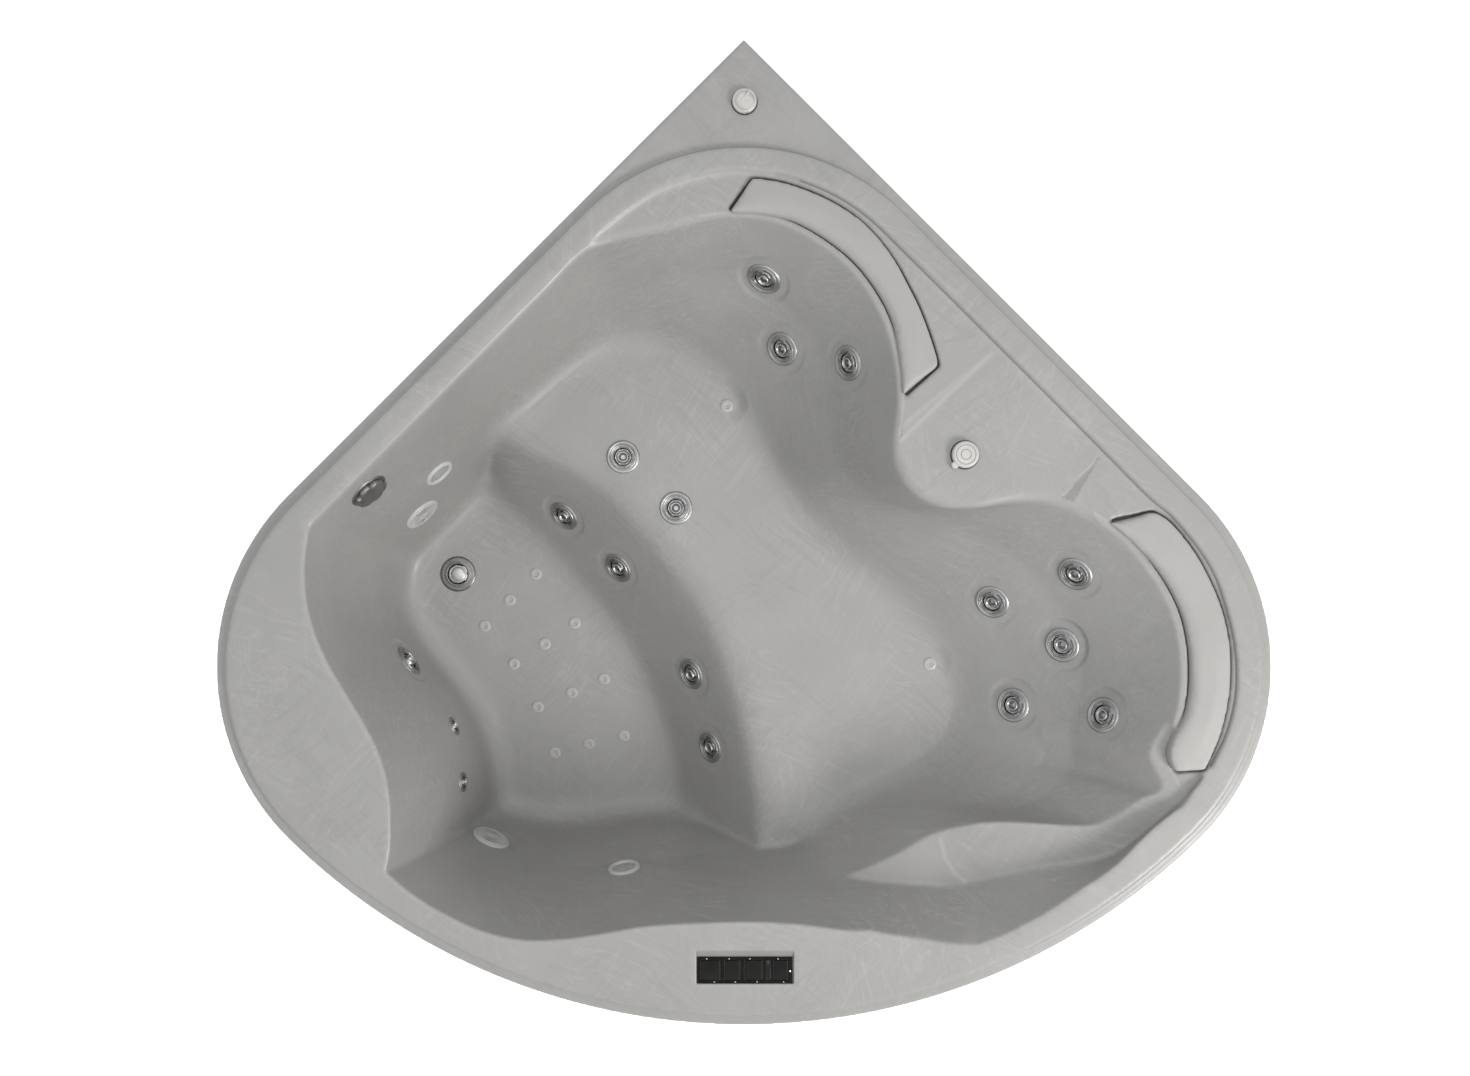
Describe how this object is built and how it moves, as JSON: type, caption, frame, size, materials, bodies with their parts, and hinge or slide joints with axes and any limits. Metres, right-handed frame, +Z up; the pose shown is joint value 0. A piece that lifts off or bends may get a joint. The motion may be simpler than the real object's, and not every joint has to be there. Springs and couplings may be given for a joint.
{
  "type": "corner jetted bathtub",
  "caption": "Corner bath with water jets: sculpted shell with footwell, lounge seats, head rests, key panel, drain and overflow, on a levelled steel frame with pump and blower.",
  "frame": {"origin": "on the floor under the middle of the footprint", "axes": "+Z up, +Y towards the pointed room corner, the bowed front faces -Y, +X to the right seen from above with the corner away"},
  "size_m": [1.8104, 1.6918, 0.5914],
  "materials": {
    "acrylic": "satin gloss",
    "chrome": "polished",
    "cap_plastic": "satin",
    "lens": "frosted",
    "pillow": "soft skin",
    "gasket": "matte",
    "panel_black": "gloss",
    "key_black": "satin",
    "display": "gloss",
    "pipe_white": "matte",
    "body_black": "matte",
    "steel": "galvanised",
    "zinc": "zinc",
    "board": "sealed",
    "motor": "painted",
    "case": "matte"
  },
  "bodies": {
    "tub": {"tub_shell": "acrylic", "jet_wall_fittings": "chrome", "jet_gaskets": "gasket", "jet_bodies": "pipe_white", "air_injector_caps": "cap_plastic", "air_injector_bodies": "pipe_white", "suction_covers": "cap_plastic", "suction_bodies": "pipe_white", "light_bezels": "cap_plastic", "light_lenses": "lens", "light_housings": "body_black", "drain_flange": "chrome", "drain_shoe": "pipe_white", "overflow_plate": "chrome", "overflow_pipe": "pipe_white", "keypad_housing": "panel_black", "keypad_display": "display", "air_control_valve": "cap_plastic", "corner_diverter_valve": "cap_plastic", "headrest_pillow_left": "pillow", "headrest_pillow_right": "pillow", "pillow_studs": "body_black", "support_frame": "steel", "base_board": "board", "levelling_feet": "zinc", "foot_locknuts": "zinc", "pump_volute": "body_black", "pump_motor": "motor", "blower_housing": "body_black", "air_channel": "pipe_white", "water_pipework": "pipe_white", "air_pipework": "pipe_white", "control_box": "case"},
    "nozzle_01": {"jet_nozzle_01": "chrome"},
    "nozzle_02": {"jet_nozzle_02": "chrome"},
    "nozzle_03": {"jet_nozzle_03": "chrome"},
    "nozzle_04": {"jet_nozzle_04": "chrome"},
    "nozzle_05": {"jet_nozzle_05": "chrome"},
    "nozzle_06": {"jet_nozzle_06": "chrome"},
    "nozzle_07": {"jet_nozzle_07": "chrome"},
    "nozzle_08": {"jet_nozzle_08": "chrome"},
    "nozzle_09": {"jet_nozzle_09": "chrome"},
    "nozzle_10": {"jet_nozzle_10": "chrome"},
    "nozzle_11": {"jet_nozzle_11": "chrome"},
    "nozzle_12": {"jet_nozzle_12": "chrome"},
    "nozzle_13": {"jet_nozzle_13": "chrome"},
    "nozzle_14": {"jet_nozzle_14": "chrome"},
    "nozzle_15": {"jet_nozzle_15": "chrome"},
    "nozzle_16": {"jet_nozzle_16": "chrome"},
    "nozzle_17": {"jet_nozzle_17": "chrome"},
    "stopper": {"drain_stopper": "chrome"},
    "overflow_knob_body": {"overflow_knob": "chrome"},
    "rocker_1": {"keypad_rocker_1": "key_black"},
    "rocker_2": {"keypad_rocker_2": "key_black"},
    "rocker_3": {"keypad_rocker_3": "key_black"},
    "rocker_4": {"keypad_rocker_4": "key_black"},
    "air_knob": {"air_control_knob": "cap_plastic"},
    "corner_knob": {"corner_diverter_knob": "cap_plastic"},
    "impeller": {"pump_impeller": "body_black"},
    "fan": {"blower_fan": "body_black"}
  },
  "joints": [
    {"name": "nozzle_01_tilt", "type": "hinge", "parent": "tub", "child": "nozzle_01", "pos_m": [0.03996, 0.46063, 0.4594], "axis": [0.8759, -0.4825, 0], "range_deg": [-12, 12]},
    {"name": "nozzle_02_tilt", "type": "hinge", "parent": "tub", "child": "nozzle_02", "pos_m": [0.07582, 0.34185, 0.3908], "axis": [0.5763, -0.8172, 0], "range_deg": [-12, 12]},
    {"name": "nozzle_03_tilt", "type": "hinge", "parent": "tub", "child": "nozzle_03", "pos_m": [0.19165, 0.30281, 0.48219], "axis": [0.2868, -0.958, 0], "range_deg": [-12, 12]},
    {"name": "nozzle_04_tilt", "type": "hinge", "parent": "tub", "child": "nozzle_04", "pos_m": [0.46624, -0.12634, 0.37308], "axis": [0.6183, -0.786, 0], "range_deg": [-12, 12]},
    {"name": "nozzle_05_tilt", "type": "hinge", "parent": "tub", "child": "nozzle_05", "pos_m": [0.59313, -0.07047, 0.48392], "axis": [0.634, -0.7734, 0], "range_deg": [-12, 12]},
    {"name": "nozzle_06_tilt", "type": "hinge", "parent": "tub", "child": "nozzle_06", "pos_m": [0.5859, -0.20422, 0.41797], "axis": [0.2844, -0.9587, 0], "range_deg": [-12, 12]},
    {"name": "nozzle_07_tilt", "type": "hinge", "parent": "tub", "child": "nozzle_07", "pos_m": [0.5095, -0.3234, 0.35806], "axis": [-0.1471, -0.9891, 0], "range_deg": [-12, 12]},
    {"name": "nozzle_08_tilt", "type": "hinge", "parent": "tub", "child": "nozzle_08", "pos_m": [0.64738, -0.32802, 0.47217], "axis": [-0.3047, -0.9525, 0], "range_deg": [-12, 12]},
    {"name": "nozzle_09_tilt", "type": "hinge", "parent": "tub", "child": "nozzle_09", "pos_m": [-0.2308, 0.1457, 0.286], "axis": [1, 0, 0], "range_deg": [-12, 12]},
    {"name": "nozzle_10_tilt", "type": "hinge", "parent": "tub", "child": "nozzle_10", "pos_m": [-0.1288, 0.0475, 0.286], "axis": [1, 0, 0], "range_deg": [-12, 12]},
    {"name": "nozzle_11_tilt", "type": "hinge", "parent": "tub", "child": "nozzle_11", "pos_m": [-0.35473, 0.03836, 0.1777], "axis": [0.7394, -0.6732, 0], "range_deg": [-12, 12]},
    {"name": "nozzle_12_tilt", "type": "hinge", "parent": "tub", "child": "nozzle_12", "pos_m": [-0.2451, -0.06653, 0.18652], "axis": [0.6412, -0.7673, 0], "range_deg": [-12, 12]},
    {"name": "nozzle_13_tilt", "type": "hinge", "parent": "tub", "child": "nozzle_13", "pos_m": [-0.09745, -0.27863, 0.20226], "axis": [0.3764, -0.9265, 0], "range_deg": [-12, 12]},
    {"name": "nozzle_14_tilt", "type": "hinge", "parent": "tub", "child": "nozzle_14", "pos_m": [-0.05939, -0.42605, 0.19397], "axis": [0.2273, -0.9738, 0], "range_deg": [-12, 12]},
    {"name": "nozzle_15_tilt", "type": "hinge", "parent": "tub", "child": "nozzle_15", "pos_m": [-0.66196, -0.25646, 0.2413], "axis": [-0.5849, 0.8111, 0], "range_deg": [-12, 12]},
    {"name": "nozzle_16_tilt", "type": "hinge", "parent": "tub", "child": "nozzle_16", "pos_m": [-0.57229, -0.38204, 0.23703], "axis": [-0.4287, 0.9034, 0], "range_deg": [-12, 12]},
    {"name": "nozzle_17_tilt", "type": "hinge", "parent": "tub", "child": "nozzle_17", "pos_m": [-0.5495, -0.4857, 0.26355], "axis": [-0.1064, 0.9943, 0], "range_deg": [-12, 12]},
    {"name": "overflow_knob_turn", "type": "hinge", "parent": "tub", "child": "overflow_knob_body", "pos_m": [-0.6606, 0.0734, 0.51], "axis": [0.6953, -0.6953, 0.182], "range_deg": [0, 90]},
    {"name": "stopper_lift", "type": "slide", "parent": "tub", "child": "stopper", "axis": [0, 0, 1], "range_m": [0, 0.01]},
    {"name": "rocker_1_press", "type": "hinge", "parent": "tub", "child": "rocker_1", "pos_m": [-0.0571, -0.7478, 0.574], "axis": [1, 0, 0], "range_deg": [-4, 4], "stiffness_Nm_per_rad": 0.05},
    {"name": "rocker_2_press", "type": "hinge", "parent": "tub", "child": "rocker_2", "pos_m": [-0.02, -0.7478, 0.574], "axis": [1, 0, 0], "range_deg": [-4, 4], "stiffness_Nm_per_rad": 0.05},
    {"name": "rocker_3_press", "type": "hinge", "parent": "tub", "child": "rocker_3", "pos_m": [0.01635, -0.7478, 0.574], "axis": [1, 0, 0], "range_deg": [-4, 4], "stiffness_Nm_per_rad": 0.05},
    {"name": "rocker_4_press", "type": "hinge", "parent": "tub", "child": "rocker_4", "pos_m": [0.06285, -0.7478, 0.574], "axis": [1, 0, 0], "range_deg": [-4, 4], "stiffness_Nm_per_rad": 0.05},
    {"name": "air_knob_turn", "type": "hinge", "parent": "tub", "child": "air_knob", "pos_m": [0.3776, 0.1321, 0.577], "axis": [0, 0, 1], "range_deg": [0, 180]},
    {"name": "corner_knob_turn", "type": "hinge", "parent": "tub", "child": "corner_knob", "pos_m": [0.001, 0.7369, 0.572], "axis": [0, 0, 1], "range_deg": [0, 180]},
    {"name": "impeller_spin", "type": "hinge", "parent": "tub", "child": "impeller", "pos_m": [0.25, 0.06, 0.173], "axis": [1, 0, 0], "continuous": true},
    {"name": "fan_spin", "type": "hinge", "parent": "tub", "child": "fan", "pos_m": [0.43, 0.29, 0.15], "axis": [0, 0, 1], "continuous": true}
  ],
  "couplings": [
    {"joint": "stopper_lift", "follows": "overflow_knob_turn", "m_per_rad": 0.006366}
  ]
}
